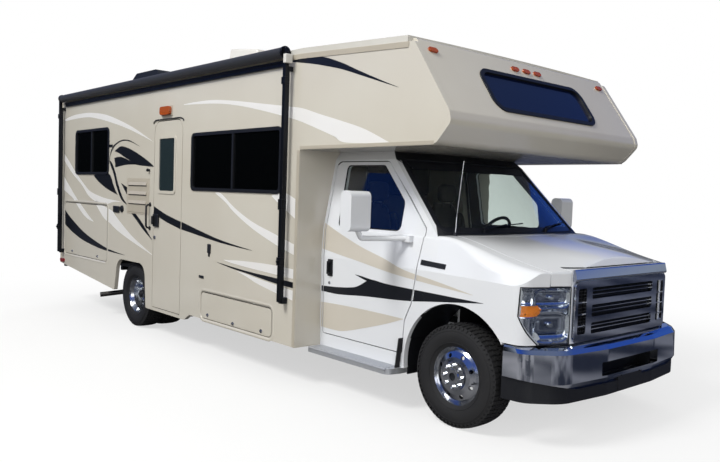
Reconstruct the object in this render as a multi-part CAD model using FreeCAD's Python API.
import FreeCAD, Part
import math
import os

# Motorhome: a coach body of laminated slabs on a cutaway van chassis, with a bunk over the cab.
# Frame: +X forward, +Y to the vehicle's left, +Z up, millimetres. The origin is on the ground, on the
# centre plane, halfway between the front bumper's face and the rear bumper's face.

V = FreeCAD.Vector

# ---- driving dimensions -------------------------------------------------------------------------
WHEELBASE = 4699.0
FRONT_OVERHANG = 820.0      # front axle to the front bumper's face
COACH_OVERHANG = 2303.0     # rear axle to the coach's rear wall
BUMPER_STANDOFF = 90.0      # rear wall to the rear bumper's face
CAB_LENGTH = 1510.0         # front axle to the coach's front wall
COACH_WIDTH = 2525.0
WALL = 45.0                 # thickness of a coach wall slab
WALL_TOP = 2776.0           # top of the side walls, where the roof sits
ROOF_EDGE = 45.0            # thickness of the roof at its edge
ROOF_CROWN = 60.0           # rise of the roof at the centre plane
FLOOR_Z = 740.0             # underside of the coach floor
FLOOR = 60.0
BUNK_Z = 1988.0             # underside of the bunk over the cab
SKIRT_Z = 330.0             # lower edge of the side skirts, ahead of the rear wheels
CLEAR = 8.0                 # gap round doors, lids and hatches
SEAT_GAP = 0.3              # gap between curved pieces that seat on each other
CAP_T = 40.0                # thickness of the bunk's moulded cap
CAP_IN = 6.0                # the cap lies this far inside the side walls' edge

TYRE_R = 372.0
TYRE_W = 225.0
RIM_R = 206.0
FRONT_TRACK = 1750.0        # between the middles of the front tyres
TWIN_SPACING = 272.0        # between the middles of a pair of rear tyres
REAR_OUTER = 1214.0         # centre plane to the outermost sidewall at the rear

RAIL_Y = 432.0              # outer face of a chassis rail
RAIL_FLANGE = 75.0
RAIL_T = 8.0
RAIL_FRONT = 640.0          # front end of the rails, ahead of the front axle

CAB_HALF = 1000.0           # half width of the cab's body side
CAB_SKIN = 45.0             # thickness of a cab door or side
CAB_FLOOR = 660.0
BELT_Z = 1345.0             # lower edge of the cab's side glass
GUTTER_Z = 1925.0
GLASS = 6.0

# ---- places that follow from them ---------------------------------------------------------------
LENGTH = FRONT_OVERHANG + WHEELBASE + COACH_OVERHANG + BUMPER_STANDOFF
FA = LENGTH / 2 - FRONT_OVERHANG          # front axle
RA = FA - WHEELBASE                       # rear axle
CF = FA - CAB_LENGTH                      # coach front wall, front face
CR = RA - COACH_OVERHANG                  # coach rear wall, rear face
SIDE = COACH_WIDTH / 2
INNER = SIDE - WALL
FLOOR_TOP = FLOOR_Z + FLOOR

nodes = {}


# ---- small makers -------------------------------------------------------------------------------
def box(x0, x1, y0, y1, z0, z1):
    return Part.makeBox(x1 - x0, y1 - y0, z1 - z0, V(x0, y0, z0))


def cyl(r, a, b):
    d = b - a
    return Part.makeCylinder(r, d.Length, a, d)


def place(a, b, plane, at):
    """A point of a flat outline, put into space."""
    return {"xz": V(a, at, b), "xy": V(a, b, at), "yz": V(at, a, b)}[plane]


def wire(points, plane, at):
    """A closed outline of (a, b) or (a, b, corner radius) points, with tangent arcs at its corners."""
    edges = []
    n = len(points)
    joins = []
    for i, p in enumerate(points):
        a, b, r = (tuple(p) + (0.0,))[:3]
        if not r:
            joins.append(((a, b), None, (a, b)))
            continue
        pa, pb = points[i - 1][:2], points[(i + 1) % n][:2]
        u = (pa[0] - a, pa[1] - b)
        w = (pb[0] - a, pb[1] - b)
        lu, lw = math.hypot(*u), math.hypot(*w)
        u, w = (u[0] / lu, u[1] / lu), (w[0] / lw, w[1] / lw)
        half = math.acos(max(-1.0, min(1.0, u[0] * w[0] + u[1] * w[1]))) / 2
        t = r / math.tan(half)
        bis = (u[0] + w[0], u[1] + w[1])
        lb = math.hypot(*bis)
        d = r / math.sin(half) - r
        joins.append(((a + u[0] * t, b + u[1] * t), (a + bis[0] / lb * d, b + bis[1] / lb * d),
                      (a + w[0] * t, b + w[1] * t)))
    for i, (start, mid, end) in enumerate(joins):
        s, e = place(*start, plane, at), place(*end, plane, at)
        if mid is not None:
            edges.append(Part.Arc(s, place(*mid, plane, at), e).toShape())
        nxt = place(*joins[(i + 1) % n][0], plane, at)
        if (nxt - e).Length > 1e-6:
            edges.append(Part.LineSegment(e, nxt).toShape())
    return Part.Wire(edges)


def slab(points, plane, lo, hi):
    """The outline made solid between two levels along the plane's normal."""
    normal = {"xz": V(0, 1, 0), "xy": V(0, 0, 1), "yz": V(1, 0, 0)}[plane]
    return Part.Face(wire(points, plane, lo)).extrude(normal * (hi - lo))


def rect(a0, a1, b0, b1, r=0.0):
    return [(a0, b0, r), (a1, b0, r), (a1, b1, r), (a0, b1, r)]


def flip(shape):
    """The same piece on the other side of the centre plane."""
    return shape.mirror(V(0, 0, 0), V(0, 1, 0))


def fuse(*shapes):
    out = shapes[0].multiFuse(list(shapes[1:])) if len(shapes) > 1 else shapes[0]
    return out.removeSplitter()


def for_side(shape, side, drawn):
    """A piece drawn for one side of the vehicle, put on the side asked for."""
    return shape if side == drawn else flip(shape)


def node(name, *solids):
    nodes[name] = solids[0] if len(solids) == 1 else Part.makeCompound(list(solids))


# ---- coach walls --------------------------------------------------------------------------------
ROOF_FALL = 63.0            # how far the roof comes down between the coach's front wall and the bunk's nose
ROOF_END = -286.0           # where it has come down, ahead of the front axle
# The bunk's side outline: distance ahead of the front axle, height, corner radius.
NOSE = [(ROOF_END, WALL_TOP - ROOF_FALL, 0), (ROOF_END + 50, WALL_TOP - ROOF_FALL, 30), (106, 2216, 60),
        (128, 2140, 60), (-12, BUNK_Z, 120)]
# The rear wheel opening: ahead of and behind the rear axle at its foot, and the height of its head.
ARCH_FRONT, ARCH_BACK, ARCH_TOP = 387.0, 474.0, 765.0
STEP_Z = 276.0              # underside of the entrance step box
REAR_SKIRT_Z = 545.0        # lower edge of the body at the rear wall


def wall_outline(step):
    """A side wall from the rear top corner round to the bunk's nose and back along the skirt."""
    pts = [(CR, REAR_SKIRT_Z), (CR, WALL_TOP), (CF, WALL_TOP)]
    pts += [(FA + x, z, r) for x, z, r in NOSE]
    pts += [(CF, BUNK_Z), (CF, SKIRT_Z)]
    if step:
        pts += [(CF - 1800, SKIRT_Z + 14, 60), (CF - 1910, STEP_Z, 60), (RA + ARCH_FRONT, STEP_Z, 20)]
    else:
        pts += [(RA + ARCH_FRONT + 12, SKIRT_Z + 14, 20)]
    pts += [(RA + ARCH_FRONT - 47, ARCH_TOP, 150), (RA - ARCH_BACK + 79, ARCH_TOP, 150),
            (RA - ARCH_BACK, 375, 20)]
    return pts


# Windows of the coach: wall side, x of the rear and front edge, z of the sill and head, corner radius.
WINDOWS = [
    ("right", CF - 1816, CF - 250, 1616, 2196, 60),
    ("right", RA - 1776, RA - 678, 1771, 2353, 70),
    ("left", CF - 1916, CF - 816, 1616, 2196, 60),
    ("left", RA - 1776, RA - 978, 1771, 2353, 70),
]
DOOR_X = (CF - 2648, CF - 2007)
DOOR_Z = (310.0, 2356.0)
DOOR_R = 120.0
# Luggage hatches: name, wall side, rear and front edge, sill, head.
HATCHES = [
    ("luggage_door_front", "right", CF - 1566, CF - 334, 352, 618),
    ("luggage_door_rear", "right", RA - 2151, RA - 705, 690, 1393),
    ("luggage_door_left", "left", CF - 1966, CF - 734, 352, 618),
]
HATCH_R = 55.0
HATCH_T = 38.0              # thickness of a hatch
DOOR_T = 40.0               # thickness of the entrance door
JAMB = 15.0                 # width of the flange that a door or hatch closes against


def opening(wall, outline, depth):
    """An opening with a flange inside it, for a leaf of the given thickness."""
    inner = outline(JAMB)
    wall = wall.cut(slab(outline(0.0), "xz", -SIDE - 1, -SIDE + depth + SEAT_GAP))
    return wall.cut(slab(inner, "xz", -SIDE - 1, -INNER + 1))


def door_outline(inset):
    (x0, x1), (z0, z1) = DOOR_X, DOOR_Z
    i, r = inset, DOOR_R - inset
    return [(x0 + i, z0 + i), (x1 - i, z0 + i), (x1 - i, z1 - i, r), (x0 + i, z1 - i, r)]


def hatch_outline(x0, x1, z0, z1):
    return lambda i: rect(x0 + i, x1 - i, z0 + i, z1 - i, HATCH_R - i)


def side_wall(side):
    body = slab(wall_outline(side == "right"), "xz", -SIDE, -INNER)
    for where, x0, x1, z0, z1, r in WINDOWS:
        if where == side:
            hole = rect(x0 + 20, x1 - 20, z0 + 20, z1 - 20, r - 20)
            body = body.cut(slab(hole, "xz", -SIDE - 1, -INNER + 1))
    for _, where, x0, x1, z0, z1 in HATCHES:
        if where == side:
            body = opening(body, hatch_outline(x0, x1, z0, z1), HATCH_T)
    if side == "right":
        body = opening(body, door_outline, DOOR_T)
    return body


def window_parts():
    frames, panes = [], []
    for side, x0, x1, z0, z1, r in WINDOWS:
        ring = slab(rect(x0, x1, z0, z1, r), "xz", -SIDE - 10, -SIDE)
        ring = ring.cut(slab(rect(x0 + 32, x1 - 32, z0 + 32, z1 - 32, r - 32), "xz", -SIDE - 11, -SIDE + 1))
        lip = slab(rect(x0 + 20, x1 - 20, z0 + 20, z1 - 20, r - 20), "xz", -SIDE, -SIDE + 30)
        lip = lip.cut(slab(rect(x0 + 32, x1 - 32, z0 + 32, z1 - 32, r - 32), "xz", -SIDE - 1, -SIDE + 31))
        mid = (x0 + x1) / 2
        mullion = box(mid - 14, mid + 14, -SIDE - 8, -SIDE + 30, z0 + 30, z1 - 30)
        frame = fuse(ring, lip, mullion)
        for a, b in ((x0 + 32, mid - 14), (mid + 14, x1 - 32)):
            pane = slab(rect(a, b, z0 + 32, z1 - 32, 0), "xz", -SIDE + 6, -SIDE + 6 + GLASS)
            inside = slab(rect(x0 + 32, x1 - 32, z0 + 32, z1 - 32, r - 32), "xz", -SIDE, -SIDE + 20)
            pane = pane.common(inside)
            panes.append(for_side(pane, side, "right"))
        frames.append(for_side(frame, side, "right"))
    # the bunk's front window stands in the slanted face of the cap
    frame, pane = cap_window()
    return frames + [frame], panes + [pane]


# ---- the bunk's front cap -----------------------------------------------------------------------
SLANT_TOP = (-262.0, 2748.0 - CAP_IN)     # the cap's slanted front face, ahead of the front axle and height
SLANT_LOW = (106.0 - CAP_IN, 2214.0)
WINDOW_Z = 2436.0           # middle of the bunk's front window
CAP_WIN = (1372.0, 405.0, 120.0)   # width, height along the slant, corner radius


def slant_frame():
    """Middle of the front window, the unit vector up the slant and the outward normal."""
    dx, dz = SLANT_TOP[0] - SLANT_LOW[0], SLANT_TOP[1] - SLANT_LOW[1]
    run = math.hypot(dx, dz)
    up = V(dx / run, 0, dz / run)
    out = V(dz / run, 0, -dx / run)
    mid = V(FA + SLANT_LOW[0] + dx * (WINDOW_Z - SLANT_LOW[1]) / dz, 0, WINDOW_Z)
    return mid, up, out


def on_slant(width, height, radius, inner, outer):
    """A rounded rectangle on the slanted face, solid between two depths along its normal."""
    mid, up, out = slant_frame()
    flat = slab(rect(-width / 2, width / 2, -height / 2, height / 2, radius), "yz", inner, outer)
    m = FreeCAD.Matrix(out.x, 0, up.x, mid.x, 0, 1, 0, 0, out.z, 0, up.z, mid.z, 0, 0, 0, 1)
    return flat.transformed(m)


def cap_window():
    w, h, r = CAP_WIN
    frame = on_slant(w, h, r, 0, 10).cut(on_slant(w - 70, h - 70, r - 35, -1, 11))
    lip = on_slant(w - 40 - 0.6, h - 40 - 0.6, r - 20, -30, 0)
    lip = lip.cut(on_slant(w - 70, h - 70, r - 35, -31, 1))
    pane = on_slant(w - 70, h - 70, r - 35, -16, -10)
    return fuse(frame, lip), pane


def overcab_cap():
    i = CAP_IN
    roof_end = -300.0
    outer = [(roof_end, SLANT_TOP[1], 0), SLANT_TOP + (30,), SLANT_LOW + (60,), (128 - i, 2140, 60),
             (-14, BUNK_Z + i / 2, 110), (CF - FA - WALL, BUNK_Z + i / 2, 0)]
    t = CAP_T
    inner = [(CF - FA - WALL, BUNK_Z + t, 0), (-30, BUNK_Z + t, 80), (128 - i - t, 2150, 40),
             (106 - i - t, 2200, 40), (ROOF_END, WALL_TOP - 66, 20), (roof_end, WALL_TOP - 66, 0)]
    pts = [(FA + x, z, r) for x, z, r in outer + inner]
    body = slab(pts, "xz", -INNER, INNER)
    w, h, r = CAP_WIN
    return body.cut(on_slant(w - 40, h - 40, r - 20, -80, 60))


# ---- roof ---------------------------------------------------------------------------------------
def roof_section(x, z, crown):
    """The roof's cross section: flat ceiling, upright edges, arched top."""
    a, b = V(x, -SIDE, z), V(x, SIDE, z)
    c, d = V(x, SIDE, z + ROOF_EDGE), V(x, -SIDE, z + ROOF_EDGE)
    top = Part.Arc(c, V(x, 0, z + ROOF_EDGE + crown), d).toShape()
    return Part.Wire([Part.LineSegment(a, b).toShape(), Part.LineSegment(b, c).toShape(), top,
                      Part.LineSegment(d, a).toShape()])


def coach_roof():
    slope_end = FA - 300.0
    main = Part.makeLoft([roof_section(CR, WALL_TOP, ROOF_CROWN),
                          roof_section(CF, WALL_TOP, ROOF_CROWN)], True, True)
    fall = ROOF_FALL * (CF - slope_end) / (CF - (FA + ROOF_END))
    front = Part.makeLoft([roof_section(CF, WALL_TOP, ROOF_CROWN),
                           roof_section(slope_end, WALL_TOP - fall, 12.0)], True, True)
    return fuse(main, front)


# The rear plate's bolt holes: middle of the plate, spacing across and up, radius.
PLATE_Y, PLATE_Z = 700.0, 760.0
PLATE_W, PLATE_H = 178.0, 121.0
PLATE_R = 3.5


def rear_wall():
    wall = slab(rect(-INNER, INNER, REAR_SKIRT_Z, WALL_TOP), "yz", CR, CR + WALL)
    places = [(PLATE_Y + a, PLATE_Z + b) for a in (-PLATE_W / 2, PLATE_W / 2) for b in (-PLATE_H / 2, PLATE_H / 2)]
    return wall.cut([cyl(PLATE_R, V(CR - 1, y, z), V(CR + 22, y, z)) for y, z in places])


def front_bulkhead():
    body = slab(rect(-INNER, INNER, SKIRT_Z, BUNK_Z + CAP_IN / 2), "yz", CF - WALL, CF)
    x0, x1 = CF - WALL - 1, CF + 1
    half = CAB_HALF - 160
    walkway = slab(rect(-half, half, CAB_FLOOR + 60, BUNK_Z - 80, 80), "yz", x0, x1)
    room = RAIL_FLANGE + 10
    rails = [box(x0, x1, s * RAIL_Y - room, s * RAIL_Y + room, SKIRT_Z - 1, 662) for s in (-1, 1)]
    tunnel = box(x0, x1, -RAIL_Y, RAIL_Y, SKIRT_Z - 1, 662)
    return body.cut([walkway, tunnel] + rails)


# ---- floor, wheel boxes, step well and luggage boxes ------------------------------------------------
WELL_IN = 620.0             # inner side of a rear wheel box
WELL_TOP = 870.0
STEP_DEPTH = 380.0          # depth of the entrance step well, inwards from the wall
BOX_T = 18.0
BOX_RIM = 12.0              # a luggage box reaches this far past its hatch's edges


def coach_floor():
    base = box(CR + WALL, CF - WALL, -INNER, INNER, FLOOR_Z, FLOOR_TOP)
    parts, holes = [base], []
    for s in (-1, 1):
        y0, y1 = sorted((s * WELL_IN, s * INNER))
        parts.append(box(RA - 480, RA + 440, y0, y1, FLOOR_Z, WELL_TOP))
        y0, y1 = sorted((s * (WELL_IN + BOX_T), s * (INNER + 5)))
        holes.append(box(RA - 480 + BOX_T, RA + 440 - BOX_T, y0, y1, FLOOR_Z - 1, WELL_TOP - BOX_T))
    x0, x1 = DOOR_X[0] - 20, DOOR_X[1] + 20
    z0, back = STEP_Z + 10, -INNER + STEP_DEPTH
    well = box(x0 + BOX_T, x1 - BOX_T, -INNER - 1, back - BOX_T, z0 + BOX_T, FLOOR_TOP + 1)
    tray = box(x0, x1, -INNER, back, z0, FLOOR_Z).cut(well)
    step = box(x0, x1, -INNER + 190, back, z0, 545)
    step = step.cut(box(x0 - 10, x1 + 10, -INNER + 208, back - BOX_T, STEP_Z, 527))
    floor = fuse(*parts).cut(holes).cut(well)
    return fuse(floor, tray, step)


def luggage_boxes():
    out = []
    for _, side, x0, x1, z0, z1 in HATCHES:
        low, high, depth = z0 - BOX_RIM, z1 + BOX_RIM, 600.0
        if z1 < FLOOR_Z:
            high, depth = min(high, FLOOR_Z), 560.0
        if z0 < FLOOR_TOP < z1:
            low = FLOOR_TOP
        a, b = x0 - BOX_RIM, x1 + BOX_RIM
        shell = box(a, b, -INNER, -INNER + depth, low, high)
        hollow = box(a + BOX_T, b - BOX_T, -INNER - 1, -INNER + depth - BOX_T, low + BOX_T, high - BOX_T)
        out.append(for_side(shell.cut(hollow), side, "right"))
    return out


def hatch_panel(x0, x1, z0, z1):
    return slab(hatch_outline(x0, x1, z0, z1)(CLEAR), "xz", -SIDE, -SIDE + HATCH_T)


# ---- entrance door ------------------------------------------------------------------------------
DOOR_WIN = (CF - 2550, CF - 2146, 1570.0, 2194.0, 50.0)


def entry_door():
    leaf = slab(door_outline(CLEAR), "xz", -SIDE, -SIDE + DOOR_T)
    a0, a1, b0, b1, r = DOOR_WIN
    leaf = leaf.cut(slab(rect(a0 + 20, a1 - 20, b0 + 20, b1 - 20, r - 15), "xz", -SIDE - 1, -SIDE + DOOR_T + 1))
    frame = slab(rect(a0, a1, b0, b1, r), "xz", -SIDE - 8, -SIDE)
    frame = frame.cut(slab(rect(a0 + 32, a1 - 32, b0 + 32, b1 - 32, r - 25), "xz", -SIDE - 9, -SIDE + 1))
    pane = slab(rect(a0 + 20.5, a1 - 20.5, b0 + 20.5, b1 - 20.5, r - 15), "xz", -SIDE, -SIDE + GLASS)
    return leaf, frame, pane


# ---- cab ----------------------------------------------------------------------------------------
# Sections of the cab's lower body. Columns: distance ahead of the front axle; how far in from the cab's
# side the sill lies; height of the side crease; how far in and how high the shoulder lies, and its
# radius; height of the crown's apex and its radius.
DOOR_SECTIONS = [
    (-CAB_LENGTH, 15, 1100, 15, 1352, 12, 1358, 6000),
    (-215, 15, 1094, 60, 1352, 40, 1388, 5000),
]
HOOD_SECTIONS = [
    (-215, 15, 1094, 60, 1352, 40, 1388, 5000),
    (100, 15, 1086, 45, 1288, 90, 1362, 4600),
    (380, 15, 1078, 55, 1204, 120, 1338, 3200),
    (560, 15, 1070, 120, 1172, 110, 1306, 2600),
    (730, 15, 1060, 210, 1150, 90, 1240, 2400),
]
# The nose in plan, ahead of the front axle: distance, how far in from the cab's side, corner radius.
NOSE_PLAN = [(548, 0, 120), (704, 350, 170)]
# The nose going up: height, and how far its front has leaned back there.
NOSE_LEAN = [(200, 0), (1160, 0), (1200, 8), (1240, 30), (1270, 64), (1300, 130), (1600, 130)]
# Outlines of the cab's upper part. Columns: height; how far in from the cab's side its back lies; x and
# how far in of the windscreen's corner; x of the windscreen on the centre plane.
CAB_UPPER = [
    (BELT_Z, 15, -245, 68, -60),
    (GUTTER_Z, 130, -800, 158, -700),
    (BUNK_Z + CAP_IN / 2 - SEAT_GAP, 178, -866, 200, -776),
]
SILL_Z = 330.0
FIREWALL = -330.0           # ahead of the front axle
FIREWALL_T = 20.0
NOSE_LOW = 690.0            # underside of the nose, just above the bumper
BAY_SKIN = 30.0             # thickness of the fenders and the hood
FRONT_ARCH = (0.0, 392.0, 495.0)    # centre ahead of the axle, height, radius
LINER_IN = 572.0            # centre plane to the inner end of a front wheel arch's liner
LINER_T = 8.0
LINER_LOW = 560.0           # lower ends of the liner
DOGHOUSE = (-640.0, 330.0, 1100.0)  # engine cover in the cab: rear end, half width, top
# Side outlines, ahead of the front axle: distance, height, corner radius.
CAB_DOOR = [(-1472, 445, 20), (-1472, 1905, 60), (-862, 1905, 60), (-588, 1625, 60), (-368, 1392, 40),
            (-391, 1078, 60), (-434, 840, 100), (-502, 704, 80), (-525, 445, 20)]
CAB_GLASS = [(-1335, 1362, 40), (-1350, 1880, 40), (-905, 1880, 40), (-622, 1592, 60), (-622, 1362, 50)]
SCREEN = (112.0, 1368.0, 205.0, 1928.0, 62.0)    # in from the side and height, below and above; radius
HOOD_SIDE = 205.0           # how far in from the cab's side the hood's cut runs
HOOD_LOW = 1196.0           # lower edge of the hood over the grille
LAMP_TOP = 1070.0
LAMP_END = 760.0            # past the nose's face
LAMP_SIDE = [(532, LAMP_TOP), (524, 880), (604, NOSE_LOW), (LAMP_END, NOSE_LOW), (LAMP_END, LAMP_TOP)]
LAMP_T = 60.0


def cab_section(row, skin, drop):
    """One closed section across the cab: floor line, upright sides, round shoulders, arched crown."""
    x, sill, z_crease, inset, z_shoulder, r_shoulder, z_apex, r_apex = row
    w = CAB_HALF - skin
    half = [(w - sill, SILL_Z), (w, z_crease), (w - inset, z_shoulder - drop, r_shoulder)]
    left = [(-p[0],) + tuple(p[1:]) for p in half]
    return wire(left + [(0, z_apex - drop, r_apex)] + half[::-1], "yz", FA + x)


def nose_form(skin):
    """Everything behind the nose's front, which leans back into the hood as it rises."""
    outlines = []
    for z, lean in NOSE_LEAN:
        back = skin + lean
        half = [(CF - 50, CAB_HALF - skin, 0)]
        half += [(FA + x - back, CAB_HALF - inset - skin - back * 0.4 * (inset > 0), r)
                 for x, inset, r in NOSE_PLAN]
        outlines.append(wire(half + [(x, -y, r) for x, y, r in reversed(half)], "xy", z))
    return Part.makeLoft(outlines, True, True)


def front_body(skin=0.0, drop=0.0):
    """The hood and fenders as one solid form, with the cab's side carried on behind them."""
    hood = Part.makeLoft([cab_section(row, skin, drop) for row in HOOD_SECTIONS], True, False)
    return fuse(hood.common(nose_form(skin)), lower_body(skin, drop))


def lower_body(skin=0.0, drop=0.0, start=0.0):
    """The cab below its side glass, from the coach to the windscreen's foot."""
    rows = [list(row) for row in DOOR_SECTIONS]
    rows[0][0] -= start
    return Part.makeLoft([cab_section(row, skin, drop) for row in rows], True, True)


def upper_outline(row, skin):
    z, back, x_corner, corner, x_mid = row
    wb, wc = CAB_HALF - back - skin, CAB_HALF - corner - skin
    a, b = V(CF, -wb, z), V(CF, wb, z)
    c, d = V(FA + x_corner - skin, wc, z), V(FA + x_corner - skin, -wc, z)
    arc = Part.Arc(c, V(FA + x_mid - skin, 0, z), d).toShape()
    return Part.Wire([Part.LineSegment(a, b).toShape(), Part.LineSegment(b, c).toShape(), arc,
                      Part.LineSegment(d, a).toShape()])


def upper_body(skin=0.0, low=0.0, top=0.0):
    """The cab from the belt to the bunk, leaning in to the gutters and back with the windscreen."""
    rows = [list(r) for r in CAB_UPPER]
    rows[0][0] -= low
    rows[-1][0] -= top
    return Part.makeLoft([upper_outline(r, skin) for r in rows], True, True)


def shifted(points, grow=0.0):
    """Cab points, given ahead of the front axle, moved into the frame and grown by a gap."""
    mx = sum(p[0] for p in points) / len(points)
    mz = sum(p[1] for p in points) / len(points)
    return [(FA + x + grow * (1 if x > mx else -1), z + grow * (1 if z > mz else -1), r) for x, z, r in points]


def side_prism(points, grow=0.0):
    """A side outline cut through the right-hand side of the cab."""
    return slab(shifted(points, grow), "xz", -CAB_HALF - 5, -CAB_HALF + 400)


def largest(shape):
    return max(shape.Solids, key=lambda q: q.Volume)


def screen_prism(gap):
    """The windscreen's outline seen from ahead, made solid through the front of the cab."""
    low, z0, high, z1, r = SCREEN
    half = [(CAB_HALF - low - gap, z0 + gap, r), (CAB_HALF - high - gap, z1 - gap, r)]
    return slab(half + [(-y, z, c) for y, z, c in reversed(half)], "yz", FA - 1100, FA + 60)


def lamp_prism(gap):
    """The right headlamp's outline, grown inwards by a gap."""
    pts = [(FA + x + gap * (x < LAMP_END), z + gap * (z == NOSE_LOW) - gap * (z == LAMP_TOP)) for x, z in LAMP_SIDE]
    return slab(pts, "xz", -CAB_HALF - 50, -GRILLE_HALF - 16 - gap)


def hood_zone(gap):
    """Where the hood lies: between its side cuts, down to the grille's lip and, at its corners, the headlamps."""
    g = gap
    y = CAB_HALF - HOOD_SIDE + g
    plan = [(FA + 5 - g, 330), (FA + 5 - g, -330), (FA - 150 - g, -y - 10), (FA + 520, -y), (FA + 760, -y),
            (FA + 760, y), (FA + 520, y), (FA - 150 - g, y + 10)]
    top = slab(plan, "xy", HOOD_LOW - g, 1500)
    y0 = GRILLE_HALF + 18 - g
    corner = box(FA + 440 - g, FA + 760, y0, y, LAMP_TOP + CLEAR - g, HOOD_LOW + 1)
    return fuse(top, corner, flip(corner))


def arch_space(grow, y):
    """The round space over the right front wheel, out to a place y."""
    cx, cz, r = FRONT_ARCH
    return cyl(r + grow, V(FA + cx, -y, cz), V(FA + cx, -LINER_IN, cz))


def arch_ring(inner, outer, y):
    """A bowed sheet over the right front wheel, between two clearances from the arch, out to a place y."""
    cx, cz, r = FRONT_ARCH
    ring = cyl(r + outer, V(FA + cx, -y, cz), V(FA + cx, -LINER_IN, cz))
    ring = ring.cut(cyl(r + inner, V(FA + cx, -y - 1, cz), V(FA + cx, -LINER_IN + 1, cz)))
    low = box(FA - 600, FA, -CAB_HALF, 0, -200, LINER_LOW)
    return ring.cut([low, box(FA, FA + 600, -CAB_HALF, 0, -200, NOSE_LOW)])


def cab_pieces():
    """Shell, right door, its glass, windscreen, fenders and hood, all cut from the same two hollow forms."""
    s = CAB_SKIN
    outer = fuse(lower_body(), upper_body(low=1.0))
    cabin = [lower_body(s, -20, 10).common(box(CF - 20, FA + FIREWALL, -CAB_HALF, CAB_HALF, CAB_FLOOR, BELT_Z + 1)),
             upper_body(s, 0, 38)]
    doorway = box(CF - 20, CF + 20, -CAB_HALF + 180, CAB_HALF - 180, CAB_FLOOR + 60, BUNK_Z - 80)
    under = box(CF - 5, FA + 800, -CAB_HALF + s + 20, CAB_HALF - s - 20, SILL_Z - 30, CAB_FLOOR - 30)
    x0, half, top = DOGHOUSE
    cover = box(FA + x0, FA + FIREWALL + 1, -half, half, CAB_FLOOR - 30, top)
    hollow = box(FA + x0 + 20, FA + FIREWALL + 30, -half + 20, half - 20, SILL_Z - 30, top - 20)
    firewall = FA + FIREWALL + FIREWALL_T
    ahead = box(firewall, FA + 900, -CAB_HALF - 5, CAB_HALF + 5, SILL_Z - 30, BELT_Z)
    arch = arch_space(0.0, CAB_HALF + 50)
    deep = arch_space(LINER_T + SEAT_GAP, CAB_HALF - s)
    hump = arch_ring(LINER_T + SEAT_GAP, LINER_T + 18, CAB_HALF - s + 2)
    shell = fuse(outer.cut(cabin + [doorway, under]), cover, hump, flip(hump))
    shell = shell.cut([hollow, ahead, arch, flip(arch), deep, flip(deep)])
    prism = side_prism(CAB_DOOR)
    layer = upper_body(10.0, 1.0, 1.0).cut(upper_body(10.0 + GLASS, 5.0, -5.0))
    door = largest(shell.common(prism)).cut(side_prism(CAB_GLASS))
    pane = layer.common(side_prism(CAB_GLASS, -0.5))
    gap = side_prism(CAB_DOOR, CLEAR)
    shell = shell.cut([gap, flip(gap)])
    # the door's inner face stops just short of the jamb, a flange round the inside of the doorway
    door = door.cut([lower_body(s - SEAT_GAP, -20, 10), upper_body(s - SEAT_GAP, 0, 38)])
    within = slab(shifted(CAB_DOOR, -JAMB), "xz", -CAB_HALF - 6, -CAB_HALF + 401)
    band = side_prism(CAB_DOOR, CLEAR + 4).cut(within)
    ring = lower_body(s, -20, 10).cut(lower_body(s + 12, 0, 12)).common(
        box(CF, FA + FIREWALL, -CAB_HALF, 0, CAB_FLOOR, BELT_Z - 40))
    jamb = largest(ring.common(band))
    shell = fuse(shell.cut(screen_prism(0.0)), jamb, flip(jamb))
    screen = layer.common(screen_prism(0.5))
    return shell, door, pane, screen


def front_pieces():
    """Fenders with the nose and the arch liners as one piece, and the hood, cut from one hollow form."""
    firewall = FA + FIREWALL + FIREWALL_T
    w = CAB_HALF + 5
    bay = front_body(BAY_SKIN, BAY_SKIN - 4)
    bay = bay.common(box(firewall - 1, FA + 645, -CAB_HALF, CAB_HALF, 250, 1400))
    under = [box(firewall - 1, FA + 800, -LINER_IN, LINER_IN, 250, NOSE_LOW),
             box(FA + 408, FA + 800, -w, w, 250, NOSE_LOW)]
    cowl = box(firewall - 1, FA - 215, -w, w, BELT_Z, 1500)
    body = front_body().common(box(firewall, FA + 800, -w, w, SILL_Z, 1500))
    body = body.cut([bay, cowl, upper_body(-SEAT_GAP, 1.0)] + under)
    hood = largest(body.common(hood_zone(0.0)))
    arch = arch_space(0.0, w)
    z0, z1 = GRILLE_Z
    mouth = box(FA + 630, FA + 760, -GRILLE_HALF + 45, GRILLE_HALF - 45, z0 + 40, z1 - 40)
    lamp = lamp_prism(0.0)
    # the radiator's support stands across the bay and carries the nose and the headlamps
    x0, x1 = FA + 504, FA + 524 - SEAT_GAP
    support = box(x0, x1, -CAB_HALF, CAB_HALF, NOSE_LOW, LAMP_TOP - 6).common(front_body(5, 5))
    hole = GRILLE_HALF - 156
    support = support.cut(box(x0 - 1, x1 + 1, -hole, hole, NOSE_LOW + 60, LAMP_TOP - 66))
    cheek = box(x0, FA + NOSE_X - 8, GRILLE_HALF - 24, GRILLE_HALF + 16, NOSE_LOW, LAMP_TOP - 6)
    fenders = fuse(body.cut([lamp, flip(lamp)]), support, cheek, flip(cheek))
    fenders = fenders.cut([arch, flip(arch), mouth, hood_zone(CLEAR)])
    z0, z1 = HOOD_LOW - CLEAR - 2, HOOD_LOW - SEAT_GAP
    stops = [cyl(10, V(FA + 672, y, z0), V(FA + 672, y, z1)) for y in (-450, 450)]
    return fuse(fenders, *stops), hood


# ---- front end ----------------------------------------------------------------------------------
GRILLE_HALF = CAB_HALF - 364.0
GRILLE_Z = (698.0, 1104.0)
GRILLE_T = 24.0
NOSE_X = 704.0              # the nose's flat face, ahead of the front axle
# Openings of the grille: lower and upper edge of each row.
GRILLE_ROWS = [(742, 818), (858, 940), (980, 1058)]
# Inner and outer edge of the upright between the rows and a side vent.
GRILLE_POST = (GRILLE_HALF - 208.0, GRILLE_HALF - 136.0)
LIP_Z = (1108.0, 1186.0)            # chrome lip over the grille


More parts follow.
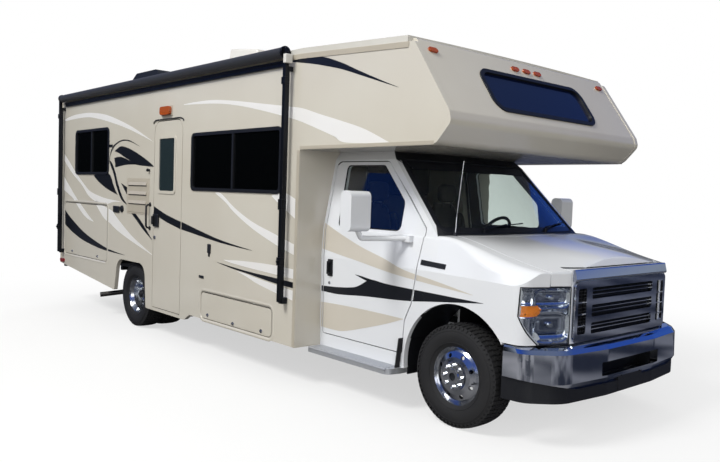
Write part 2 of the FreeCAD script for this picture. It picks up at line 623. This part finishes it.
def grille():
    x0, x1 = FA + NOSE_X, FA + NOSE_X + GRILLE_T
    w, (z0, z1) = GRILLE_HALF, GRILLE_Z
    plate = slab(rect(-w, w, z0, z1, 34), "yz", x0, x1)
    p0, p1 = GRILLE_POST
    rows = [slab(rect(-p0, p0, a, b, 14), "yz", x0 - 1, x1 + 1) for a, b in GRILLE_ROWS]
    vent = slab(rect(p1, w - 34, z0 + 52, z1 - 46, 16), "yz", x0 - 1, x1 + 1)
    slats = [box(x0, x0 + 8, -p0 - 1, p0 + 1, z - 3, z + 3)
             for a, b in GRILLE_ROWS for z in (a + (b - a) / 3, b - (b - a) / 3)]
    for z in (800, 880, 960):
        slat = box(x0, x0 + 8, p1, w - 33, z - 4, z + 4)
        slats += [slat, flip(slat)]
    l0, l1 = LIP_Z
    lip = slab([(x0, l0), (x0 + 22, l0, 8), (x0 + 30, l0 + 12, 8), (x0 + 14, l1, 8), (x0, l1)], "xz", -w - 6, w + 6)
    joint = box(x0, x0 + 10, -w + 60, w - 60, z1 - 1, l0 + 1)
    return fuse(plate.cut(rows + [vent, flip(vent)]), *slats, lip, joint)


def headlamp():
    return front_body().common(lamp_prism(0.5)).cut(front_body(LAMP_T, 0))


# The bumper in plan, ahead of the front axle: distance, half width, corner radius.
BUMPER_BACK = 430.0         # where its ends stop
BUMPER_PLAN = [(BUMPER_BACK, CAB_HALF + 3, 0), (600, CAB_HALF - 10, 150), (772, CAB_HALF - 200, 260),
               (FRONT_OVERHANG, CAB_HALF - 670, 300)]
# Its outline going up: height, and how far in the face lies there.
BUMPER_RISE = [(400, 26), (448, 0), (640, 4), (668, 22), (680, 52)]
BUMPER_T = 52.0
BUMPER_SLOT = (400.0, 462.0, 556.0)     # half width, lower and upper edge of the air slot
BUMPER_END = 478.0          # lower edge of the bumper at its ends


def bumper_plan(inset, z):
    half = [(FA + x - inset * (x > BUMPER_BACK), y - inset * (0.25 if y > CAB_HALF - 100 else 0.6), r)
            for x, y, r in BUMPER_PLAN]
    return wire(half + [(x, -y, r) for x, y, r in reversed(half)], "xy", z)


def bumper_line(lift, far):
    """The chrome's lower edge seen from ahead, rising to the ends, with all that lies on one side of it."""
    y0, y1 = 640, CAB_HALF + 30
    line = [(-y1, BUMPER_END + lift), (-y0, 400 + lift), (y0, 400 + lift), (y1, BUMPER_END + lift)]
    return slab(line + [(y1, far), (-y1, far)], "yz", FA + 300, FA + 900)


def front_bumper():
    form = Part.makeLoft([bumper_plan(inset, z) for z, inset in BUMPER_RISE], True, True)
    half = [(FA + x - BUMPER_T * (x > BUMPER_BACK), y - BUMPER_T * 0.9, r) for x, y, r in BUMPER_PLAN]
    inner = slab(half + [(x, -y, r) for x, y, r in reversed(half)], "xy", 399, 650)
    back = box(FA + 300, FA + 640, -CAB_HALF + 100, CAB_HALF - 100, 399, 700)
    w, z0, z1 = BUMPER_SLOT
    slot = slab(rect(-w, w, z0, z1, 12), "yz", FA + 700, FA + 900)
    arm = box(FA + RAIL_FRONT, FA + FRONT_OVERHANG - BUMPER_T / 2, RAIL_Y - 28, RAIL_Y - 2, 470, 588)
    return fuse(form.cut([inner, back, slot, bumper_line(0.0, 300)]), arm, flip(arm))


def splash_guards():
    pts = [(FA + x - 14, y * 0.985, r) for x, y, r in BUMPER_PLAN]
    form = slab(pts + [(x, -y, r) for x, y, r in reversed(pts)], "xy", 318, 500)
    hollow = [(x - 46, y * 0.95, r) for x, y, r in pts]
    hollow[0] = (pts[0][0] - 1,) + hollow[0][1:]
    form = form.cut(slab(hollow + [(x, -y, r) for x, y, r in reversed(hollow)], "xy", 317, 501))
    skirt = form.cut(bumper_line(-SEAT_GAP, 600))
    z1 = CAB_FLOOR - 30 - SEAT_GAP
    flap = box(FA - 512, FA - 500, CAB_HALF - 250, CAB_HALF - 70, 275, z1)
    liner = arch_ring(0.0, LINER_T, CAB_HALF - CAB_SKIN - SEAT_GAP)
    return [skirt, liner, flip(liner), flip(flap), flap]


# ---- wheels -------------------------------------------------------------------------------------
def ring_profile(points):
    """A revolved ring about the axle line: (place along the axle, radius) points."""
    pts = [V(0, a, r) for a, r in points]
    face = Part.Face(Part.makePolygon(pts + [pts[0]]))
    return face.revolve(V(0, 0, 0), V(0, 1, 0), 360)


def tyre():
    h = TYRE_W / 2
    half = [(72, RIM_R + 2), (74, RIM_R + 14), (h - 8, RIM_R + 32), (h, RIM_R + 78), (h - 12, TYRE_R - 34),
            (h - 30, TYRE_R - 8), (h - 44, TYRE_R)]
    return ring_profile([(-y, r) for y, r in half] + half[::-1])


# Cross sections of the wheels: place along the axle from the tyre's middle, and radius.
RIM_BARREL = [(-84, RIM_R + 12), (-76, RIM_R + 12), (-73, RIM_R + 1.5), (73, RIM_R + 1.5), (76, RIM_R + 12),
              (84, RIM_R + 12), (84, RIM_R + 3), (62, RIM_R - 12), (-62, RIM_R - 12)]
# The front wheel's domed face, with the hub's flange that carries the nuts.
FRONT_FACE = [(60, RIM_R - 8), (76, RIM_R - 32), (92, 134), (98, 104), (112, 98), (112, 56), (124, 50), (124, 28),
              (100, 28), (100, 88), (86, 94), (80, 130), (62, RIM_R - 44), (46, RIM_R - 8)]
# The rear wheel's dished face, drawn for the outer wheel of the pair.
REAR_FACE = [(70, RIM_R - 9), (40, RIM_R - 26), (-62, 158), (-110, 128), (-112, 75), (-TWIN_SPACING / 2, 75),
             (-TWIN_SPACING / 2, 138), (-74, 168), (26, RIM_R - 14)]
HAND_HOLES = 8
HUB_R = 60.0
SPINDLE_R = 30.0


def hand_holes(face, pitch, r, y0, y1):
    """Round hand holes, evenly spaced round a wheel's face."""
    tools = []
    for k in range(HAND_HOLES):
        a = 2 * math.pi * (k + 0.5) / HAND_HOLES
        x, z = math.cos(a) * pitch, math.sin(a) * pitch
        tools.append(cyl(r, V(x, y0, z), V(x, y1, z)))
    return face.cut(tools)


def moved(shape, x, y, z=TYRE_R):
    out = shape.copy()
    out.translate(V(x, y, z))
    return out


def turned(shape):
    """Turned half round the vertical, so the outside faces the right-hand side."""
    out = shape.copy()
    out.rotate(V(0, 0, 0), V(0, 0, 1), 180)
    return out


def front_wheel():
    """Left front wheel about its own middle: tyre, and rim with its domed face and hub."""
    face = hand_holes(ring_profile(FRONT_FACE), 150, 15, 40, 120)
    hub = cyl(HUB_R, V(0, -30, 0), V(0, 101, 0)).cut(cyl(SPINDLE_R + SEAT_GAP, V(0, -31, 0), V(0, 50, 0)))
    return tyre(), fuse(ring_profile(RIM_BARREL), face, hub)


def rear_wheels():
    """Left rear pair about the middle between the two tyres."""
    half = TWIN_SPACING / 2
    wheel = fuse(ring_profile(RIM_BARREL), hand_holes(ring_profile(REAR_FACE), 146, 15, -half, 20))
    hub = cyl(HUB_R + 20, V(0, -60, 0), V(0, 128, 0))
    hub = hub.cut(cyl(SPINDLE_R + 10 + SEAT_GAP, V(0, -61, 0), V(0, 60, 0)))
    cap = cyl(48, V(0, 127, 0), V(0, 172, 0))
    tyres = [moved(tyre(), 0, s * half, 0) for s in (-1, 1)]
    return tyres, fuse(moved(wheel, 0, half, 0), moved(turned(wheel), 0, -half, 0), hub, cap)


# ---- axles --------------------------------------------------------------------------------------
FRONT_Y = FRONT_TRACK / 2
KING_Y = FRONT_Y - 105
REAR_Y = REAR_OUTER - TYRE_W / 2 - TWIN_SPACING / 2


def knuckle():
    """Left knuckle: fork over the beam's end, king pin and spindle."""
    z = TYRE_R
    ears = [box(FA - 32, FA + 32, KING_Y - 32, KING_Y + 68, z + s * 82 - 12, z + s * 82 + 12) for s in (-1, 1)]
    web = box(FA - 32, FA + 32, KING_Y + 46, KING_Y + 68, z - 94, z + 94)
    pin = cyl(16, V(FA, KING_Y, z - 82), V(FA, KING_Y, z + 82))
    spindle = cyl(SPINDLE_R, V(FA, KING_Y + 60, z), V(FA, FRONT_Y + 45, z))
    arm = box(FA - 150, FA - 20, KING_Y - 14, KING_Y + 14, z - 112, z - 92)
    foot = box(FA - 32, FA - 20, KING_Y - 14, KING_Y + 14, z - 112, z - 90)
    return fuse(*ears, web, pin, spindle, arm, foot)


def front_axle():
    """Two crossed I-section beams, each ending in a boss for a king pin, with coil springs and radius arms."""
    out = []
    z = TYRE_R
    for s in (-1, 1):
        x = FA + s * 34
        end, y = s * (KING_Y - 30), s * KING_Y
        beam = slab([(-s * 330, z - 30), (end, z - 30), (end, z + 30), (-s * 330, z + 30)], "yz", x - 24, x + 24)
        end = s * (KING_Y - 80)
        groove = [(-s * 300, z - 18), (end, z - 18), (end, z + 18), (-s * 300, z + 18)]
        beam = beam.cut([slab(groove, "yz", x - 25, x - 8), slab(groove, "yz", x + 8, x + 25)])
        boss = cyl(32, V(FA, y, z - 68), V(FA, y, z + 68))
        x0 = FA + (s - 1) * 12
        y0, y1 = sorted((s * (KING_Y - 60), s * (KING_Y - 20)))
        link = box(x0, x0 + 24, y0, y1, z - 30, z + 30)
        bore = cyl(16 + SEAT_GAP, V(FA, y, z - 69), V(FA, y, z + 69))
        spring = cyl(52, V(x, s * 496, z + 30), V(x, s * 496, z + 180))
        y0, y1 = sorted((s * RAIL_Y, s * 556))
        pad = box(x - 60, x + 60, y0, y1, z + 180, z + 194)
        out.append(fuse(beam, fuse(boss, link).cut(bore), spring, pad))
    return fuse(*out)


def rear_axle():
    z = TYRE_R
    tube = cyl(62, V(RA, -REAR_Y + 70, z), V(RA, REAR_Y - 70, z))
    stubs = [cyl(SPINDLE_R + 10, V(RA, s * (REAR_Y - 80), z), V(RA, s * (REAR_Y + 55), z)) for s in (-1, 1)]
    diff = Part.makeSphere(170, V(RA, 0, z)).common(box(RA - 150, RA + 170, -150, 150, z - 160, z + 160))
    shaft = cyl(45, V(RA + 150, 0, z + 5), V(FA - 1150, 0, 560))
    springs = []
    for s in (-1, 1):
        y = s * 540
        leaf = slab([(RA - 700, 470), (RA - 250, 462), (RA + 250, 462), (RA + 700, 470), (RA + 700, 500),
                     (RA + 250, 520), (RA - 250, 520), (RA - 700, 500)], "xz", y - 38, y + 38)
        seat = box(RA - 90, RA + 90, y - 45, y + 45, z + 30, 462)
        y0, y1 = sorted((s * RAIL_Y, s * 580))
        hangers = [box(x - 30, x + 30, y0, y1, 470, 620) for x in (RA - 700, RA + 700)]
        springs += [leaf, seat] + hangers
    return fuse(tube, *stubs, diff, shaft, *springs)


# ---- chassis ------------------------------------------------------------------------------------
# The rails' side view, from the front to the rear. Columns: x, lower and upper edge.
RAIL_STATIONS = [
    (FA + RAIL_FRONT, 450, 600),
    (FA + 300, 450, 600),
    (FA - 500, 450, 622),
    (CF - 60, 450, 622),
    (CF - 400, 470, 650),
    (RA + 900, 470, 650),
    (RA + 560, 560, 725),
    (RA - 560, 560, 725),
    (RA - 900, 470, 650),
    (CR + WALL, 470, 650),
]


def rail_outline(inset, reach):
    """A rail's side outline, set in at its flanges and carried past both ends."""
    (x0, low0, high0), *middle, (x1, low1, high1) = RAIL_STATIONS
    rows = [(x0 + reach, low0, high0)] + middle + [(x1 - reach, low1, high1)]
    return [(x, low + inset) for x, low, high in rows] + [(x, high - inset) for x, low, high in reversed(rows)]


def chassis_frame():
    web, hollow = rail_outline(0, 0), rail_outline(RAIL_T, 5)
    rail = slab(web, "xz", -RAIL_Y, -RAIL_Y + RAIL_FLANGE)
    rail = rail.cut(slab(hollow, "xz", -RAIL_Y + RAIL_T, -RAIL_Y + RAIL_FLANGE + 1))
    parts = [rail, flip(rail)]
    # cross-members: x, lower and upper edge
    for x, z0, z1 in ((FA + 560, 500, 590), (FA - 1080, 451, 480 - SEAT_GAP), (CF - 900, 560, 640),
                      (RA + 1100, 500, 590), (RA - 1560, 500, 590), (CR + 90, 500, 590)):
        parts.append(box(x - 30, x + 30, -RAIL_Y + 1, RAIL_Y - 1, z0, z1))
    # outriggers that carry the coach floor; the one beside the entrance step stops short of the well
    for x in (CF - 500, CF - 900, CF - 1500, RA + 900, RA - 900, RA - 1500, CR + 300):
        right = 600 if x == RA + 900 else 1150
        parts.append(box(x - 25, x + 25, -right, 1150, 649, FLOOR_Z))
    return fuse(*parts)


def engine():
    block = box(FA - 430, FA + 330, -290, 290, 480, 1060)
    gearbox = box(FA - 1140, FA - 430, -170, 170, 480, 622)
    y = RAIL_Y - RAIL_T
    mounts = box(FA - 60, FA + 60, -y, y, 500, 560)
    return fuse(block, gearbox, mounts)


def bent_pipe(points, r, bend):
    """A round pipe along straight runs joined by tangent arcs."""
    pts = [V(*p) for p in points]
    edges = []
    last = pts[0]
    for a, b, c in zip(pts, pts[1:], pts[2:]):
        u, w = (a - b).normalize(), (c - b).normalize()
        half = u.getAngle(w) / 2
        t = bend / math.tan(half)
        s0, s1 = b + u * t, b + w * t
        mid = b + (u + w).normalize() * (bend / math.sin(half) - bend)
        edges += [Part.LineSegment(last, s0).toShape(), Part.Arc(s0, mid, s1).toShape()]
        last = s1
    edges.append(Part.LineSegment(last, pts[-1]).toShape())
    path = Part.Wire(edges)
    ring = Part.Wire([Part.makeCircle(r, pts[0], pts[1] - pts[0])])
    return path.makePipeShell([ring], True, False)


def exhaust():
    y, z = -232.0, 398.0
    front = bent_pipe([(FA - 380, y, 480 - SEAT_GAP), (FA - 380, y, 430), (FA - 520, y, z), (CF - 800, y, z)], 30, 40)
    muffler = cyl(90, V(CF - 1500, y, z), V(CF - 790, y, z))
    tail = bent_pipe([(CF - 1490, y, z), (RA + 520, y, z), (RA + 260, y - 20, 500), (RA - 300, y - 20, 500),
                      (RA - 430, y - 60, 395), (RA - 890, -1262, 262)], 30, 90)
    return fuse(front, muffler, tail)


def tanks():
    fuel = slab(rect(RA - 1450, RA - 650, 330, 649 - SEAT_GAP, 50), "xz", -345, 345)
    # the waste tank ends just behind the left-hand luggage box
    front = min(x0 for _, side, x0, *_ in HATCHES if side == "left") - BOX_RIM - 31.0
    waste = slab(rect(RA + 480, front, 400, 649 - SEAT_GAP, 40), "xz", 600, 1150)
    return [fuel, waste]


# ---- cab fittings -------------------------------------------------------------------------------
def dashboard():
    z = CAB_FLOOR
    x = FA + FIREWALL
    side = [(x, 980), (x, 1318), (x - 120, 1318, 40), (x - 260, 1230, 60), (x - 230, 1000, 40)]
    body = slab(side, "xz", -CAB_HALF + 110, CAB_HALF - 110)
    x0, half, top = DOGHOUSE
    body = body.cut(box(FA + x0 - 1, FA + FIREWALL + 1, -half - 3, half + 3, z, top + 3))
    centre, axis = V(FA - 790, 430, 1300), V(0.86, 0, -0.51)
    column = cyl(28, centre + axis * 20, centre + axis * 330)
    wheel = Part.makeTorus(190, 15, centre, axis)
    boss = cyl(55, centre - axis * 12, centre + axis * 30)
    bar = FreeCAD.Rotation(V(0, 1, 0), math.degrees(math.atan2(0.51, 0.86)))
    spoke = box(-10, 12, -180, 180, -16, 16)
    spoke.Placement = FreeCAD.Placement(centre, bar)
    return fuse(body, column, wheel, boss, spoke)


def cab_seat():
    """Left seat: pedestal, cushion, backrest and head restraint."""
    y, w = 460.0, 250.0
    pedestal = box(FA - 1300, FA - 880, y - 190, y + 190, CAB_FLOOR, 850)
    cushion = slab([(FA - 1330, 850, 30), (FA - 1330, 960, 30), (FA - 820, 985, 50), (FA - 820, 850, 40)],
                   "xz", y - w, y + w)
    back = slab([(FA - 1330, 955, 20), (FA - 1200, 960, 20), (FA - 1330, 1560, 50), (FA - 1440, 1560, 50),
                 (FA - 1420, 955, 40)], "xz", y - w + 10, y + w - 10)
    head = slab([(FA - 1350, 1590, 40), (FA - 1360, 1760, 40), (FA - 1450, 1760, 40), (FA - 1440, 1590, 40)],
                "xz", y - 130, y + 130)
    posts = [cyl(8, V(FA - 1395, y + k * 70, 1550), V(FA - 1400, y + k * 70, 1610)) for k in (-1, 1)]
    return fuse(pedestal, cushion, back, head, *posts)


def mirror():
    """Left mirror: head and its arm, which stands on the door below the glass."""
    y = CAB_HALF
    head = slab(rect(FA - 741, FA - 621, 1363, 1663, 45), "xz", y + 262, y + 456)
    arm = bent_pipe([(FA - 520, y - 15, 1318), (FA - 600, y + 110, 1312), (FA - 680, y + 300, 1312),
                     (FA - 681, y + 340, 1380)], 20, 25)
    foot = box(FA - 580, FA - 470, y - 70, y, 1290, 1338)
    return fuse(head, arm, foot).cut([lower_body(), upper_body()])


def running_board():
    y = CAB_HALF
    plan = [(FA - 1500, y + 120), (FA - 540, y + 120, 60), (FA - 512.5, y, 20), (FA - 512.5, y - 70),
            (FA - 1500, y - 70)]
    return slab(plan, "xy", 286, 330 - SEAT_GAP)


# ---- awning, roof units, rear end, lamps ----------------------------------------------------------
AWNING_X = (CF - 5370.0, CF - 340.0)
ROLL_Z = 2798.0


def awning():
    x0, x1 = AWNING_X
    rail = box(x0 + 60, x1 - 60, -SIDE - 24, -SIDE, 2690, 2745)
    roll = cyl(44, V(x0 + 40, -SIDE - 56, ROLL_Z), V(x1 - 40, -SIDE - 56, ROLL_Z))
    parts = [rail, roll]
    for x in (x0, x1):
        parts.append(slab(rect(x - 20, x + 20, 705, ROLL_Z + 40, 12), "xz", -SIDE - 84, -SIDE - 48))
        parts.append(box(x - 26, x + 26, -SIDE - 60, -SIDE, 690, 742))
        parts.append(box(x - 20, x + 20, -SIDE - 60, -SIDE, 2640, 2680))
    for a, b in ((x0 + 18, x0 + 41), (x1 - 40, x1 - 18)):
        parts.append(cyl(50, V(a, -SIDE - 56, ROLL_Z), V(b, -SIDE - 56, ROLL_Z)))
    return fuse(*parts)


def roof_units(roof):
    low = WALL_TOP + 60
    cooler = slab([(RA - 2100, low), (RA - 2090, 3170, 60), (RA - 1950, 3250, 120), (RA - 1320, 3250, 120),
                   (RA - 1170, 3120, 60), (RA - 1150, low)], "xz", -350, 350)
    out = [cooler]
    for x, y in ((CF - 1850, -520), (CF - 2900, 300)):
        lid = [(x - 260, low), (x - 250, 3010, 60), (x + 150, 3030, 60), (x + 260, low)]
        out.append(slab(lid, "xz", y - 210, y + 210))
    return [p.cut(roof) for p in out]


RECEIVER = 25.65            # half the opening of the hitch receiver
HITCH_Z = 437.0


def rear_bumper():
    x0 = -LENGTH / 2
    bar = slab(rect(x0, x0 + 68, 478, 575, 14), "xz", -1180, 1180)
    arms = [box(x0 + 60, CR + WALL, s * 394 - 34, s * 394 + 34, 482, 540) for s in (-1, 1)]
    cross = box(CR + 90, CR + 154, -425, 425, HITCH_Z - 32, HITCH_Z + 32)
    tube = box(x0, CR + 91, -38, 38, HITCH_Z - 38, HITCH_Z + 38)
    plates = [box(CR + 60, CR + 190, s * 400 - 25, s * 400 + 25, HITCH_Z + 31, 470) for s in (-1, 1)]
    r = RECEIVER
    hole = box(x0 - 1, x0 + 190, -r, r, HITCH_Z - r, HITCH_Z + r)
    pin = cyl(8.2, V(x0 + 65, -50, HITCH_Z), V(x0 + 65, 50, HITCH_Z))
    ball = fuse(cross, tube, *plates).cut([hole, pin])
    tie = box(x0 + 10, x0 + 60, -30, 30, HITCH_Z + 37, 480)
    return fuse(bar, *arms, ball, tie)


def slant_block(x, y, z, w, h, depth):
    """A small lamp on the cap's slanted face."""
    mid, up, out = slant_frame()
    flat = slab(rect(-w / 2, w / 2, -h / 2, h / 2, h * 0.45), "yz", 0, depth)
    base = mid + up * ((V(FA + x, y, z) - mid).dot(up)) + V(0, y, 0)
    m = FreeCAD.Matrix(out.x, 0, up.x, base.x, 0, 1, 0, base.y, out.z, 0, up.z, base.z, 0, 0, 0, 1)
    return flat.transformed(m)


def body_lamps():
    out = [slant_block(-190, y, 2675, 90, 40, 14) for y in (-1107, -150, 0, 150, 1107)]
    for s in (-1, 1):
        y0, y1 = sorted((s * 1040, s * 1150))
        out.append(slab(rect(y0, y1, 900, 1330, 30), "yz", CR - 22, CR))
        out.append(slab(rect(s * 1100 - 45, s * 1100 + 45, 2690, 2730, 18), "yz", CR - 16, CR))
        marker = slab(rect(CR + 22, CR + 169, 560, 606, 20), "xz", -SIDE - 16, -SIDE)
        out.append(marker if s < 0 else flip(marker))
    out += [slab(rect(y - 45, y + 45, 2690, 2730, 18), "yz", CR - 16, CR) for y in (-150, 0, 150)]
    out.append(slab(rect(CF - 2470, CF - 2250, 2410, 2498, 30), "xz", -SIDE - 40, -SIDE))
    return out


node("right_wall", side_wall("right"))
node("left_wall", flip(side_wall("left")))
node("rear_wall", rear_wall())
node("front_bulkhead", front_bulkhead())
node("overcab_cap", overcab_cap())
node("coach_roof", coach_roof())
node("coach_floor", coach_floor())
node("luggage_boxes", *luggage_boxes())
frames, panes = window_parts()
node("window_frames", *frames)
node("window_glass", *panes)
for name, side, x0, x1, z0, z1 in HATCHES:
    node(name, for_side(hatch_panel(x0, x1, z0, z1), side, "right"))
leaf, frame, pane = entry_door()
node("entry_door", fuse(leaf, frame))
node("entry_door_glass", pane)

shell, door, pane, screen = cab_pieces()
fenders, hood = front_pieces()
node("cab_shell", shell)
node("front_fenders", fenders)
node("cab_door_right", door)
node("cab_door_left", flip(door))
node("cab_glass_right", pane)
node("cab_glass_left", flip(pane))
node("hood", hood)
node("windscreen", screen)
node("grille", grille())
lamp = headlamp()
node("headlamps", lamp, flip(lamp))
node("front_bumper", front_bumper())
node("splash_guards", *splash_guards())
node("exhaust", exhaust())
node("tanks", *tanks())
node("dashboard", dashboard())
node("cab_seats", cab_seat(), flip(cab_seat()))
node("mirror_left", mirror())
node("mirror_right", flip(mirror()))
node("running_boards", running_board(), flip(running_board()))
node("awning", awning())
node("roof_units", *roof_units(nodes["coach_roof"]))
node("rear_bumper", rear_bumper())
node("body_lamps", *body_lamps())
node("chassis_frame", chassis_frame())
node("engine", engine())
node("front_axle", front_axle())
node("rear_axle", rear_axle())
for side in ("left", "right"):
    node("knuckle_" + side, for_side(knuckle(), side, "left"))
    tyre_shape, rim_shape = front_wheel()
    node("front_tyre_" + side, for_side(moved(tyre_shape, FA, FRONT_Y), side, "left"))
    node("front_rim_" + side, for_side(moved(rim_shape, FA, FRONT_Y), side, "left"))
    pair, rim_shape = rear_wheels()
    node("rear_tyres_" + side, *[for_side(moved(one, RA, REAR_Y), side, "left") for one in pair])
    node("rear_rims_" + side, for_side(moved(rim_shape, RA, REAR_Y), side, "left"))

os.makedirs("parts", exist_ok=True)
for name, shape in nodes.items():
    shape.exportStep("parts/" + name + ".step")
    b = shape.BoundBox
    print(f"{name:22s} solids {len(shape.Solids)} valid {shape.isValid()} vol {shape.Volume / 1e6:9.2f} l  "
          f"x {b.XMin:7.0f} {b.XMax:7.0f}  y {b.YMin:7.0f} {b.YMax:7.0f}  z {b.ZMin:6.0f} {b.ZMax:6.0f}")
